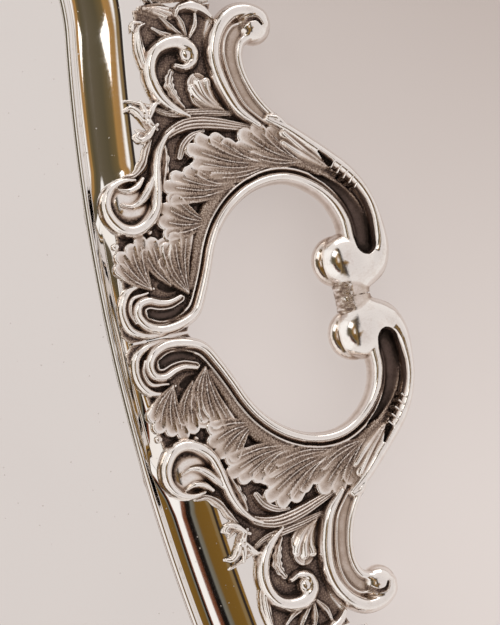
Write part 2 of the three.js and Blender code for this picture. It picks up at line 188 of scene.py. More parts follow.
class Relief:
    """The face of a casting: height and oxide on a grid, painted stroke by stroke, with a painted
    shade in places.
    """

    def __init__(self, x_span, y_span, step):
        self.step = step
        self.xs = np.arange(x_span[0], x_span[1] + step / 2, step)
        self.ys = np.arange(y_span[0], y_span[1] + step / 2, step)
        self.x, self.y = np.meshgrid(self.xs, self.ys)
        self.height = np.zeros(self.x.shape)
        self.edge = np.full(self.x.shape, -9.0)
        self.tone = np.zeros(self.x.shape)

    def window(self, low, high, reach):
        """The slices of the grid that hold a box and a margin round it."""
        c0, c1 = np.searchsorted(self.xs, (low[0] - reach, high[0] + reach))
        r0, r1 = np.searchsorted(self.ys, (low[1] - reach, high[1] + reach))
        return slice(r0, r1), slice(c0, c1)

    def along(self, curve, reach):
        """Window round a curve, and in it the distance, the side and the share of the length."""
        area = self.window(curve.min(0), curve.max(0), reach)
        x, y = self.x[area], self.y[area]
        best, side, share = np.full(x.shape, 1e6), np.ones(x.shape), np.zeros(x.shape)
        steps = np.diff(curve, axis=0)
        lengths = np.hypot(steps[:, 0], steps[:, 1])
        starts = np.concatenate([[0], np.cumsum(lengths)[:-1]]) / lengths.sum()
        for a, d, length, start in zip(curve[:-1], steps, lengths, starts):
            rows, cols = self.window(np.minimum(a, a + d), np.maximum(a, a + d), reach)
            rows = slice(rows.start - area[0].start, rows.stop - area[0].start)
            cols = slice(cols.start - area[1].start, cols.stop - area[1].start)
            px, py = x[rows, cols] - a[0], y[rows, cols] - a[1]
            t = np.clip((px * d[0] + py * d[1]) / length**2, 0, 1)
            gap = (px - t * d[0]) ** 2 + (py - t * d[1]) ** 2
            near = gap < best[rows, cols]
            best[rows, cols][near] = gap[near]
            side[rows, cols][near] = np.sign(d[0] * py - d[1] * px + 1e-9)[near]
            share[rows, cols][near] = (start + t * length / lengths.sum())[near]
        return area, np.sqrt(best), side, share

    def paint(self, area, inside, tone, weight):
        """Oxide over the old one, by weight."""
        old = self.tone[area]
        self.tone[area] = np.where(inside, old * (1 - weight) + tone * weight, old)

    def lay(self, area, lift, inside, edge, blend, tone):
        """Puts a new surface over the old one, with a fillet of size blend where they meet."""
        old = self.height[area]
        fillet = np.clip(blend - np.abs(lift - old), 0, None) ** 2 / (4 * blend)
        joined = np.maximum(old, lift) + fillet
        cover = np.clip((lift - old) / 0.5 + 0.5, 0, 1)
        self.height[area] = np.where(inside, joined, old)
        self.paint(area, inside, tone, cover)
        self.edge[area] = np.maximum(self.edge[area], edge)

    def stroke(self, points, width, height, section=half_round, base=0.0, tone=0.0, blend=0.4,
               teeth=0):
        """A raised line or lobe. Width (half) and height are lists, spread along the curve."""
        width, height = np.atleast_1d(width), np.atleast_1d(height)
        area, distance, side, share = self.along(spline(points), width.max() * 1.2 + 0.8)
        w = np.interp(share, np.linspace(0, 1, len(width)), width)
        h = np.interp(share, np.linspace(0, 1, len(height)), height)
        if teeth:
            w = w * (1 + 0.16 * np.sin(2 * math.pi * teeth * share))
        if np.ndim(tone):
            tone = np.interp(share, np.linspace(0, 1, len(tone)), tone)
        q = side * distance / w
        self.lay(area, base + h * section(q), np.abs(q) < 1, w - distance, blend, tone)

    def reach(self, points, width):
        """Window round a curve, and in it the distance from it over its half width."""
        width = np.atleast_1d(width)
        area, distance, _, share = self.along(spline(points), width.max() + 0.5)
        return area, distance / np.interp(share, np.linspace(0, 1, len(width)), width)

    def carve(self, points, width, floor, tone=0.9, softness=2.0):
        """A hollow with a round bottom at the given height."""
        area, q = self.reach(points, width)
        old = self.height[area]
        depth = np.clip(1 - q**softness, 0, 1)
        cut = floor + (1 - depth) * np.clip(old - floor, 0, None)
        self.height[area] = np.where(q < 1, np.minimum(old, cut), old)
        self.paint(area, q < 1, tone, np.clip(depth * 2.2, 0, 1))

    def shade(self, points, width, tone):
        """Painted shade along a line, kept in the oxide tone, with no change of shape."""
        area, q = self.reach(points, width)
        weight = np.clip(1 - q**2, 0, 1)
        self.tone[area] = np.maximum(self.tone[area], tone * weight)

    def dome(self, centre, radius, rise, base=0.0, tone=0.0, blend=0.4):
        """A ball or pearl: radius in plan, rise above its base."""
        centre = np.asarray(centre, float)
        area = self.window(centre, centre, radius + 1)
        d = np.hypot(self.x[area] - centre[0], self.y[area] - centre[1])
        self.lay(area, base + rise * half_round(d / radius), d < radius, radius - d, blend, tone)

    def sheet(self, corners, height, tone):
        """A level ground inside a closed outline."""
        loop = np.asarray(list(corners) + [corners[0]], float)
        area, distance, _, _ = self.along(loop, 12.0)
        inside = np.zeros(self.x.shape, bool)
        for (ax, ay), (bx, by) in zip(loop[:-1], loop[1:]):
            if ay == by:
                continue
            crosses = (self.y >= min(ay, by)) & (self.y < max(ay, by))
            at = ax + (self.y - ay) * (bx - ax) / (by - ay)
            inside ^= crosses & (self.x < at)
        signed = np.full(self.x.shape, -9.0)
        signed[area] = np.where(inside[area], distance, -distance)
        signed = np.where(inside & (signed < 0), 9.0, signed)
        everywhere = (slice(None), slice(None))
        rise = height * np.clip(signed / 0.6, 0, 1) ** 0.5
        self.lay(everywhere, rise, inside, signed, 0.2, tone)

    def finish(self, oxide, grain=0.0):
        """Punches the ground, which is known by its tone, then gives the oxide at each point."""
        matted = np.clip((self.tone - 0.3) / 0.15, 0, 1) * np.clip((0.7 - self.tone) / 0.08, 0, 1)
        self.height = self.height + grain * matted * (punched(self.x, self.y, PUNCH_PITCH) - 0.5)
        solid = (self.edge > 0).astype(float)
        share = np.zeros(self.x.shape)
        for size, gain in ((0.5, 0.95), (1.3, 0.3), (3.0, 0.06)):
            sigma = size / self.step
            level = blur(self.height * solid, sigma) / np.clip(blur(solid, sigma), 0.05, None)
            share += gain * np.clip(level - self.height, -0.35, 2)
        inner = np.clip(self.edge / 0.9, 0, 1)
        return np.clip(self.tone + oxide * share, 0, 1) * inner


def add_object(name, data):
    """A new object, linked to the scene."""
    added = bpy.data.objects.new(name, data)
    bpy.context.scene.collection.objects.link(added)
    return added


def make_mesh(name, vertices, faces, material, oxide=None):
    """A smooth mesh object from arrays, in millimetres, with its oxide kept at each point."""
    mesh = bpy.data.meshes.new(name)
    mesh.vertices.add(len(vertices))
    mesh.vertices.foreach_set("co", (np.asarray(vertices) * MM).astype(np.float32).ravel())
    faces = np.asarray(faces, np.int32)
    mesh.loops.add(faces.size)
    mesh.loops.foreach_set("vertex_index", faces.ravel())
    mesh.polygons.add(len(faces))
    mesh.polygons.foreach_set("loop_start", np.arange(len(faces), dtype=np.int32) * faces.shape[1])
    mesh.polygons.foreach_set("use_smooth", np.ones(len(faces), bool))
    mesh.update(calc_edges=True)
    if oxide is not None:
        layer = mesh.attributes.new("oxide", "FLOAT", "POINT")
        layer.data.foreach_set("value", np.asarray(oxide, np.float32))
    mesh.materials.append(material)
    return add_object(name, mesh)


def fill_holes(mask):
    """The mask without the gaps that are shut in on all sides."""
    outside = np.zeros(mask.shape, bool)
    outside[0], outside[-1], outside[:, 0], outside[:, -1] = True, True, True, True
    outside &= ~mask
    while True:
        grown = outside.copy()
        grown[1:] |= outside[:-1]
        grown[:-1] |= outside[1:]
        grown[:, 1:] |= outside[:, :-1]
        grown[:, :-1] |= outside[:, 1:]
        grown &= ~mask
        if (grown == outside).all():
            return ~outside
        outside = grown


def relief_arrays(relief, oxide):
    """Grid points inside the outline, a ring of points pulled onto it, and the faces."""
    keep = fill_holes(relief.edge > 0)
    grown = keep.copy()
    for shift in ((0, 1), (1, 0), (0, -1), (-1, 0), (1, 1), (1, -1), (-1, 1), (-1, -1)):
        grown |= np.roll(keep, shift, (0, 1))
    ring = grown & ~keep
    gy, gx = np.gradient(relief.edge, relief.step)
    slope = np.clip(gx**2 + gy**2, 0.25, None)
    pull = np.where(ring, np.clip(-relief.edge, 0, 1.5 * relief.step), 0)
    x = relief.x + gx * pull / slope
    y = relief.y + gy * pull / slope
    z = np.where(keep, relief.height, -SEAM_LAP)
    number = np.cumsum(grown.ravel()).reshape(grown.shape) - 1
    cell = grown[:-1, :-1] & grown[:-1, 1:] & grown[1:, 1:] & grown[1:, :-1]
    cell &= keep[:-1, :-1] | keep[:-1, 1:] | keep[1:, 1:] | keep[1:, :-1]
    r, c = np.nonzero(cell)
    faces = np.stack([number[r, c], number[r, c + 1], number[r + 1, c + 1], number[r + 1, c]], 1)
    return x[grown], y[grown], z[grown], faces, oxide[grown]


def close_mesh(piece):
    """Shuts every open edge loop of a mesh with one flat face, and turns all faces outward."""
    bm = bmesh.new()
    bm.from_mesh(piece.data)
    bmesh.ops.holes_fill(bm, edges=[e for e in bm.edges if e.is_boundary], sides=0)
    bmesh.ops.recalc_face_normals(bm, faces=bm.faces)
    bm.to_mesh(piece.data)
    bm.free()


def relief_piece(name, arrays, place, material, up=1):
    """One casting from relief arrays, mapped onto the tray by place."""
    x, y, z, faces, oxide = arrays
    wx, wy, turned = place(x, y)
    points = np.stack([wx, wy, SEAM + up * z], 1)
    if turned != (up < 0):
        faces = faces[:, ::-1]
    return make_mesh(name, points, faces, material, oxide)


# ======== ornament of the handle, one half: x outward, y away from the handle's axis
GROUND = [
    (27, 0.3), (8, 0.3), (5.6, 3), (6.2, 9), (9, 14.5), (9.6, 20), (10.6, 30), (11, 35), (12, 47),
    (19, 51), (25, 56.5), (27.5, 61), (29, 66), (31.5, 72), (32, 78), (32, 92), (32.5, 103.3),
    (58.3, 101.3), (54, 92), (53, 84), (54, 76), (58, 66), (66, 58), (76, 48), (82, 42), (76, 42),
    (64, 43), (57, 41.6), (50, 38), (43.5, 32), (39.5, 25.4), (36.2, 18), (33, 11.5), (30, 5.5),
]
MOULDING = [
    (87.2, 12), (86.4, 18), (86.1, 24.6), (83.4, 31.6), (78.2, 37.6), (71.2, 41.8), (64, 42.9),
    (56.4, 41.4), (49.4, 37.6), (43.5, 32), (39.4, 25.6), (36.3, 18.4), (33.2, 11.8), (29.8, 6.2),
    (24.8, 3.8), (19, 3.2), (14.8, 4.8), (12.7, 7.8), (13.4, 10.8), (16.2, 11.6), (19.6, 10.4),
    (23, 10), (26.6, 11),
]
MOULDING_WIDTH = [3.6, 3.7, 3.4, 3, 2.8, 2.8, 2.7, 2.7, 2.6, 2.5, 2.5, 2.6, 2.8, 2.8, 2.6, 2.2,
                  1.6]


def lobe(r, points, width, height, tone=0.2, ribs=2, leaflets=3, base=0.5):
    """A leaf lobe: a low web, and leaflets from one root that end in a scalloped, brighter tip."""
    r.stroke(points, [1.5 * w for w in width], [0.66 * h for h in height], shingle(ribs + 5, 0.14),
             base, [tone + 0.26, tone + 0.1], 0.3)
    path = np.asarray(points, float)
    run = np.gradient(path, axis=0)
    across = np.stack([-run[:, 1], run[:, 0]], 1) / np.hypot(run[:, 0], run[:, 1])[:, None]
    share = np.linspace(0, 1, len(path))[:, None]
    order = sorted(range(leaflets), key=lambda k: -abs(k - (leaflets - 1) / 2))
    for k in order:
        side = (k - (leaflets - 1) / 2) * 2 / max(1, leaflets - 1)
        leaflet = path + across * side * share * width[-1] * 1.05
        leaflet[-1] = leaflet[-2] + (leaflet[-1] - leaflet[-2]) * (1.12 - 0.3 * abs(side))
        wide = [0.66 * w for w in width[:-1]] + [0.74 * width[-1]]
        tall = [h * (1 - 0.1 * abs(side)) for h in height]
        r.stroke(leaflet, wide, tall, ribbed(ribs, 0.13), base,
                 [tone + 0.3, tone + 0.2, tone + 0.06, 0.03], 0.12)


def fan(r, root, tips, height=3.8, tone=0.46):
    """An acanthus fan: dished leaflets from one root, each with a scalloped tip and a fine vein."""
    root, tips = np.asarray(root, float), np.asarray(tips, float)
    gap = np.hypot(*np.diff(tips, axis=0).T).mean()
    bend = np.array([[0, -1], [1, 0]]) @ (tips.mean(0) - root) * 0.07
    middles = root + 0.5 * (tips - root) + bend
    for middle, tip in zip(middles, tips):
        r.stroke([root, middle, tip], [0.5, 0.4 * gap, 0.62 * gap],
                 [0.7 * height, height, 0.86 * height], hollow, 0.5,
                 [tone + 0.22, tone + 0.14, tone + 0.04, 0.14], 0.25)
    for middle, tip in zip(middles, tips):
        r.stroke([root, middle, 0.2 * middle + 0.8 * tip], [0.2, 0.3, 0.22],
                 [0.66 * height, 0.92 * height, 0.84 * height], half_round, 0.5, 0.1, 0.15)


def volute(r):
    """The curl beside the handle's axis, with its dark kidney-shaped pocket."""
    r.stroke([(20, 1), (13.4, 1.6), (8.9, 4.2), (7.5, 8.6), (8.2, 13), (11, 16.4), (15.6, 17.4),
              (19, 15.6)], [0.8, 1.3, 1.6, 1.6, 1.5, 1.2, 0.8], [2.4, 3, 3, 2.6, 1.8], base=0.3)
    r.stroke([(16.6, 14.6), (11.4, 13.6), (9.8, 9.6), (10.8, 6)], [0.6, 0.9, 0.9, 0.5], [3, 2.8],
             half_round, 0.3, 0.1, 0.3)
    r.carve([(16, 7.6), (19, 6.6), (23, 6.5), (26, 7.2)], [1.2, 1.7, 1.7, 0.9], 1, 0.7, 4)
    r.carve([(21.4, 15.8), (23.6, 15), (26, 14.8), (28, 15)], [1.2, 1.9, 1.6, 0.6], 0.5, 0.8)


def edge_leaves(r):
    """Leaves on the inner edge between the volute and the large curl."""
    fan(r, (24.5, 15.5), ((18.6, 26.2), (21.4, 29.4), (25, 28.4)), 3.4)
    fan(r, (18, 15.5), ((9.8, 23.4), (10.8, 27), (14.4, 28.8), (17.8, 30.6)), 3.4)
    lobe(r, [(27, 17), (25.4, 21), (25, 25), (26, 28.6)], [0.8, 1.5, 1.8, 1.3],
         [2.4, 3.4, 3.8, 3.6], 0.2, 2, 2)
    for centre, radius in (((21.6, 33.4), 1.2), ((10, 30.8), 1.3)):
        r.dome(centre, radius, 0.9 * radius, 1.4, 0.05, 0.6)


def sweep(r):
    """The large curl, and the ridge and the long dark leaf that sweep from it to the scroll."""
    leaf = [(31, 59.4), (35, 62.6), (40, 64.2), (45, 64.1), (50.6, 62.9), (56, 61.2), (61, 59.6)]
    r.stroke(leaf, [1.2, 2, 2.6, 2.7, 2.5, 2.1, 1.4], [2.6, 3.4, 3.6, 3.4, 3], ribbed(5, 0.25),
             0.4, 0.36, 0.2)
    r.stroke([(46, 61.2), (42, 60.4), (38.6, 58), (36.6, 54.4)], [0.8, 1.6, 1.9, 1.4],
             [2.6, 3.2, 3.2, 2.4], ribbed(4, 0.3), 0.4, 0.2, 0.2)
    r.carve([(34.8, 53.6), (37.4, 52.4), (40, 53)], [0.8, 1.5, 0.8], 0.8, 0.56, 1.4)
    r.stroke([(17.6, 51.6), (21, 51.6), (24.4, 54.4), (26.6, 58.4), (29.2, 62.4)],
             [0.7, 1.4, 1.6, 1.3, 0.8], [2.2, 2.8, 2.6, 1.6], ribbed(3, 0.4), 0.4, 0.16, 0.25, 3)
    r.stroke([(32.6, 59.4), (32.2, 55.6), (31, 51.6), (29.8, 48.4), (28.6, 45.2)],
             [0.7, 1.3, 1.4, 1.2, 0.7], [2.6, 3.4, 3.4, 2.6], ribbed(2, 0.3), 0.5, 0.1, 0.25, 4)
    r.dome((17, 42.4), 6.6, 2.8, 0.6, 0, 0.6)
    # painted shade: a darker crescent in the pocket of the large curl, a painted dark reflection
    r.shade([(11.6, 44), (12.2, 39.6), (16, 37.2), (20.6, 38)], [0.8, 1.9, 2.1, 1.2], 0.5)
    r.stroke([(23, 50), (20.6, 47.8), (17.6, 47), (14.8, 48)], [0.9, 1.5, 1.4, 0.7],
             [3.6, 4.2, 4, 3], base=0.5, blend=0.5)
    r.stroke([(27, 50.6), (24, 46.2), (20.6, 43), (17.4, 42), (14.6, 43)], [1, 1.8, 1.9, 1.5, 0.7],
             [4, 4.8, 4.6, 3.6], base=0.5, blend=0.5)
    r.stroke([(36.4, 63.6), (33.2, 61.4), (30.4, 57.8), (28.4, 53.4), (27.2, 48.8), (26.2, 44),
              (24.6, 39.4), (21.2, 35.9), (16.8, 34.4), (12.6, 36), (9.8, 40.2), (9.6, 45),
              (12.2, 48.8), (16.4, 50.4), (20.4, 50)],
             [0.8, 1.3, 1.6, 1.8, 2, 2.1, 2.3, 2.5, 2.5, 2.4, 2.3, 2.1, 1.8, 1.3, 0.7],
             [3.4, 4, 4.8, 5.4, 5.4, 5.2, 5, 4.8, 4.4, 3.4], base=0.5)


def fans(r):
    """Acanthus lobes that spread from the arm and the opening toward the rim."""
    bank = [(81, 42), (73, 46.4), (64, 47.6), (54.6, 45.8), (46.8, 41.4), (40.8, 35), (36.4, 27.6),
            (33.4, 20), (30.6, 14)]
    r.stroke(bank, [2.2, 3, 3.2, 3, 2.4, 1.6], [2.6, 3.2, 3.2, 2.6], plump, 0.3, 0.46, 0.4)
    for root, *tips in (
            ((29.5, 12), (24, 22.5), (25.2, 26.6), (28.8, 29.4), (33, 30.6)),
            ((41, 32.5), (27.6, 31.2), (26.8, 35.2), (28.4, 39), (32.2, 41)),
            ((53, 42.2), (31.2, 42), (30.8, 45.8), (33.8, 48.4), (38.4, 49.2)),
            ((76, 45.4), (60.6, 49.6), (57, 53.4), (59, 57.2), (63.6, 58.2), (68, 56.2)),
            ((66, 46.6), (46.4, 45.6), (42.8, 48.2), (41, 51.8), (41, 55.8), (44.4, 58.4),
             (49.2, 57.8), (52.6, 55.4))):
        fan(r, root, tips)


def spray(r):
    """Leaves and blossoms between the sweeping ridge and the small inner scroll."""
    r.stroke([(58, 65), (50, 66.6), (43, 67.6), (36, 69), (31.4, 71.6)], [0.9, 1.8, 2, 1.7, 0.9],
             [1.8, 2.8, 2.8, 2], ribbed(5, 0.3), 0.3, 0.34, 0.2)
    lobe(r, [(54.6, 66.4), (50.8, 69.6), (48.6, 73), (47.8, 76.4)], [1, 2.4, 3.2, 2.6],
         [2, 3, 3.4, 3.6], 0.14)
    r.stroke([(31.8, 71.6), (28.6, 73), (25.6, 74.6), (23.2, 75.4)], [0.9, 1, 0.7, 0.4],
             [2.4, 2.2, 1.4], base=0.2)
    r.stroke([(32, 66), (28.4, 64), (25.2, 65.6)], [1, 1, 0.5], [2.2, 1.4], base=0.2)
    r.stroke([(31.4, 64.4), (29.6, 66.4), (28.6, 68.8)], [0.8, 1.8, 2.2], [2.4, 3.2, 3.4],
             ribbed(3, 0.3), 0.4, 0.08, 0.3)
    for points in ([(27.8, 68.2), (26.4, 71), (24.4, 72.6), (22.6, 72.2)],
                   [(29.6, 68.4), (31.2, 71), (33, 72.6), (34.6, 72.2)],
                   [(28.6, 68.2), (28.6, 71.4), (28, 74.2)],
                   [(30.4, 65), (28, 62.8), (25.6, 62), (24.2, 63.4), (25.4, 64.6)]):
        r.stroke(points, [1, 1.5, 1.2, 0.6], [3, 3.4, 3, 2.2], plump, 0.4, 0.04, 0.3)
    r.dome((28.8, 67.2), 0.9, 0.9, 3)


def inner_scroll(r):
    """The hooked scroll on the inner edge near the end of the handle casting."""
    r.stroke([(41.8, 69.6), (39.4, 73.6), (38.4, 78), (40, 81.6)], [0.7, 1.5, 1.9, 1.2],
             [2.2, 3.4, 3.4, 2.4], ribbed(2, 0.3), 0.4, 0.06, 0.3, 5)
    r.carve([(37.4, 84.6), (40, 86.6), (43, 86.6)], [1.2, 1.7, 1.2], 0.8, 0.6)
    r.stroke([(42.6, 66.6), (38, 70.2), (34.6, 74.6), (33, 80), (33.6, 85), (36.4, 89),
              (40.6, 90.7), (45, 90.2), (47.8, 87.2), (47.4, 83.6), (44.4, 82.2), (41.6, 83.4)],
             [0.8, 1.6, 2.1, 2.4, 2.4, 2.4, 2.5, 2.8, 3, 2.5, 1.7, 0.9],
             [3, 4, 4.6, 4.8, 5, 4.8, 3.6], base=0.4, blend=0.3)
    r.dome((46.2, 86), 2.9, 3.4, 1.4, 0, 0.8)
    r.stroke([(35, 98.2), (32.6, 97), (31.8, 92.6), (31.8, 87), (32.8, 80.6)],
             [0.6, 1.4, 1.9, 1.7, 0.9], [2.4, 3.2, 3.4, 3], ribbed(2, 0.2), 0.4, 0.05, 0.3)
    r.stroke([(30.6, 96.8), (31.4, 99), (33.8, 98.8)], [0.6, 0.9, 0.6], [3, 2.4], base=0.4)
    for points in ([(46.6, 92), (43.4, 95.4), (40.4, 99.6)], [(47.4, 92.2), (47, 96), (45.6, 100)],
                   [(48.6, 91.6), (51, 95), (52, 98.6)], [(45.4, 92.4), (40.4, 93.8), (37, 96.4)]):
        r.stroke(points, [0.8, 1.4, 0.7], [2, 2.6, 2.2], ribbed(3, 0.25), 0.5, 0.24, 0.2)
    lobe(r, [(36, 103), (40, 101.8), (43.6, 100)], [1.4, 1.9, 1.4], [2.6, 2.8, 3.2], 0.15, 2, 3)
    r.stroke([(56.8, 96.8), (54.4, 99.6), (50.8, 101.4), (46.8, 101), (45.4, 98.8)],
             [1, 1.8, 2.2, 1.7, 0.8], [3, 4, 4.2, 3], base=0.4, blend=0.3)
    r.carve([(47.6, 103.2), (50, 103.6)], [1.1, 1.2], 1.2, 0.7, 1)


def outer_scroll(r):
    """The C-scroll between the border and the arm, with a hollow back and a ball end."""
    r.stroke([(67, 61), (63.4, 66.6), (61.2, 72.4), (60.2, 78.4), (60.4, 84), (62.4, 88.8),
              (66, 92)], [2.6, 3, 3.2, 3.4, 3.4, 3.2, 2.6], [3, 3.2, 3.2], plump, 0, 0.26, 0.3)
    r.stroke([(64.4, 59.6), (59, 65.4), (56.4, 71.4), (54.9, 77.6), (54.6, 83.6), (56.2, 89.2),
              (59.6, 94), (64.2, 96.8), (69, 96.6), (72.6, 94.2), (73.2, 91.4)],
             [1.4, 2.1, 2.5, 2.7, 2.7, 2.8, 2.9, 3, 3, 3], [4.4, 5, 5.2, 5.4, 5.4, 5.6, 5.8])
    r.stroke([(66.4, 60.6), (61.6, 66.4), (59.4, 72.2), (58.2, 78.2), (58, 84), (59.6, 89),
              (62.6, 92.2), (66, 93)], [0.6, 0.8, 0.9, 0.9, 0.8], [3.6, 3.8, 4, 3.6], blend=0.15)
    r.stroke([(70.4, 60.6), (66.8, 66), (64.4, 71.2), (62.9, 77), (62.8, 82.4), (64.4, 86.6),
              (67.6, 88.6)], [1.6, 1.7, 1.7, 1.7, 1.8, 2], [4.6, 4.4, 4.2, 4.4], blend=0.3)
    r.dome((70.2, 91.2), 5.9, 6, 0, 0, 1.4)
    r.carve([(65.4, 91.4), (68, 93.2), (70.8, 93), (72, 91)], [0.8, 0.9, 0.8, 0.4], 4.6, 0.5)


def arm(r):
    """The arm: moulding round the opening, dark channel, swelling outer rail and ball."""
    r.stroke([(44, 35), (52, 42), (60, 45.6), (68, 46), (75, 44), (81, 40), (86, 34.4),
              (89.6, 27.6), (90.8, 20), (90, 14)], [1, 1.8, 2.2, 2.6, 3.4, 3.8, 4.2, 4.4, 4.2, 3.4],
             [1, 1.4, 2, 2.2, 2], plump, 0, 0.38, 0.3)
    lobe(r, [(85.6, 40.4), (80.6, 45.4), (76, 50.2), (72, 55)], [1.4, 2.9, 3.4, 2.4],
         [3.4, 4.2, 4.6, 4.8], 0.14, 2, 3, 0.3)
    r.stroke([(67.4, 61), (72.8, 57.2), (78.6, 51.6), (84.2, 46), (89.2, 40.6), (93, 34.6),
              (95.4, 27.6), (96, 20), (95.2, 13.4), (92.2, 8.6), (87.4, 6.6)],
             [1.6, 2.3, 2.6, 2.7, 2.7, 2.5, 2.2, 2.4, 3.2, 4.4, 5.6],
             [5, 5.8, 6.2, 6.4, 6.4, 5.6], blend=0.6)
    r.dome((80.6, 12), 8.4, 3.8, 0, 0.04, 0.2)
    r.dome((83.8, 11.8), 9, 7.4, 0, 0, 1.6)
    r.dome((87, 9.6), 8, 6.6, 0, 0, 3)
    r.stroke(MOULDING, MOULDING_WIDTH, [5.8, 5.6, 5.3, 5.1, 5, 4.8, 4.6, 3.6], double_line)
    r.carve([(78, 41.4), (82.6, 38), (86.6, 33.6), (89.4, 28), (90.6, 21.6), (90, 15.6)],
            [0.8, 1.4, 2.1, 2.7, 3.4, 3.6], 0.8, 0.71, 3)
    r.carve([(81.4, 47.6), (83.2, 45.2), (84.4, 43.6)], [0.4, 0.8, 1], 3, 0.6)
    for x, y, size in ((84.9, 42.9, 0.9), (86.7, 41, 1), (88.4, 39, 1), (89.9, 37, 0.9),
                       (91.2, 35, 0.8)):
        r.stroke([(x - size, y - 1.3 * size), (x + 1.3 * size, y + 1.1 * size)],
                 [0.75 * size, 0.6 * size], [6.6, 6], half_round, 0, 0.06, 0.1)
    r.stroke([(84.8, 9), (84.2, 5), (83.8, 0.2)], [7, 5.9, 5.5], [5.6, 5.1, 4.9], half_round, 0,
             [0, 0.1, 0.24], 1.8)
    r.stroke([(72.4, 58.4), (70.4, 60.6), (67.6, 61.8)], [1.3, 1.9, 1.3], [5.4, 5.8, 5.2])


def front_relief():
    """The front half of the handle casting."""
    r = Relief((2.6, 101), (0.2, 104), FINE)
    r.sheet(GROUND, GROUND_HEIGHT, GROUND_TONE)
    for part in (arm, volute, edge_leaves, fans, spray, sweep, inner_scroll, outer_scroll):
        part(r)
    return relief_arrays(r, r.finish(HANDLE_OXIDE, PUNCH_DEPTH))


def back_relief():
    """The back half of the handle casting: plainer, and seen only from the side and below."""
    r = Relief((48, 101), (1.2, 104), COARSE)
    r.stroke([(57, 45.8), (64, 47.2), (72, 46.4), (79.8, 41.6), (86.8, 34.2), (90.2, 26),
              (90.8, 18), (89, 12)], [2.6, 3.8, 4.8, 5.4, 5.6, 5.8, 5.8, 6], [4, 4.8, 5, 5],
             plump, 0, 0.25, 0.5)
    r.stroke([(58, 47), (64, 53), (69, 60)], [4, 6, 4], [3, 4.4, 4], plump, 0, 0.3, 0.5)
    r.stroke([(67, 60), (61, 68), (58.4, 77), (58.2, 86), (61.4, 92.6), (67, 95.6)],
             [4.4, 5.4, 5.6, 5.4, 5, 4.2], [4.4, 4.8, 4.8], plump, 0, 0.25, 0.5)
    r.dome((70.2, 91.2), 5.7, 5.7, 0, 0, 1)
    r.dome((81.6, 11.8), 8.4, 8.2, 0, 0, 1)
    return relief_arrays(r, r.finish(BACK_OXIDE))


# ======== ornament of the border, in run (along the rim) and reach (out from the field)
def border_scroll(length, repeats):
    """A run of border: leafy C-scrolls on punched ground, with a rolled outer edge."""
    r = Relief((0.1, length - 0.1), (19, 62), BORDER_STEP)
    for k in range(repeats):
        scroll_module(r, k * length / repeats, length / repeats)
    return relief_arrays(r, r.finish(BORDER_OXIDE, PUNCH_DEPTH))


def scroll_module(r, start, length):
    """One C-scroll with its leaves, drawn for a length of 60 and stretched along the run."""
    k = length / 60

    def at(points):
        return [(start + x * k, y) for x, y in points]

    r.sheet(at([(0.3, 25), (8, 23.4), (15, 26), (25, 23), (36, 26), (48, 23), (59.7, 25),
                (59.7, 50), (53, 53), (46, 55), (38, 52.4), (30, 50.6), (22, 53), (14, 55),
                (6, 52), (0.3, 50)]), GROUND_HEIGHT, GROUND_TONE)
    for points in (
            [(44, 37), (37, 37.6), (31, 39.6), (25, 43.6)],
            [(44, 35), (36, 34), (28, 34.6), (20, 38)],
            [(43, 40), (38, 42), (34, 45), (31, 48.6)],
            [(42, 33), (34, 30.6), (27, 30.4), (19, 32.6)],
            [(10, 29), (6, 33), (4.4, 38), (5.4, 43)],
            [(56, 46), (53, 41), (52.4, 36), (54, 31)]):
        r.stroke(at(points), [0.8, 1.8, 2.3, 1.9], [2, 3, 3.6, 3.2], ribbed(3, 0.45),
                 0.5, 0.12, 0.2, 3)
    for points in ([(0.4, 27), (6, 25.4), (12, 27.4)], [(24, 26), (30, 24.6), (36, 26.4)],
                   [(48, 26), (54, 25), (59.6, 27)]):
        r.stroke(at(points), [0.8, 1.5, 0.8], [1.8, 2.6, 1.8], ribbed(2, 0.4), 0.3, 0.1)
    r.stroke(at([(19, 46), (14.6, 47.6), (11, 44.6), (10.4, 38), (13.4, 31.6), (21, 27.8),
                 (31, 26.8), (41, 29.6), (48, 35), (50.4, 42), (47.6, 47.4), (42.6, 47.4),
                 (41.6, 43.8)]), [1, 1.9, 2.1, 2.1, 2, 2, 2.1, 2.2, 2.2, 1.8, 1.1],
             [3.4, 4.4, 4.8, 4.8, 4.4, 3.6], base=0.4, blend=0.3)
    r.stroke(at([(0.2, 49.6), (6, 51.4), (12, 54.4), (18, 54.6), (24, 51.8), (30, 49.8), (36, 51.8),
                 (42, 54.6), (48, 54.4), (54, 51.4), (59.8, 49.6)]),
             [1.5, 1.9, 2.3, 2.3, 1.9, 1.5, 1.9, 2.3, 2.3, 1.9, 1.5], [4.4, 5, 4.4])
    for x in (15, 45):
        r.dome((start + x * k, 52.4), 3.4, 4, 1.6)
    for x, y in ((30, 46.6), (57, 36), (3, 46), (55, 27.6)):
        r.dome((start + x * k, y), 1.5, 1.6, 1.4)


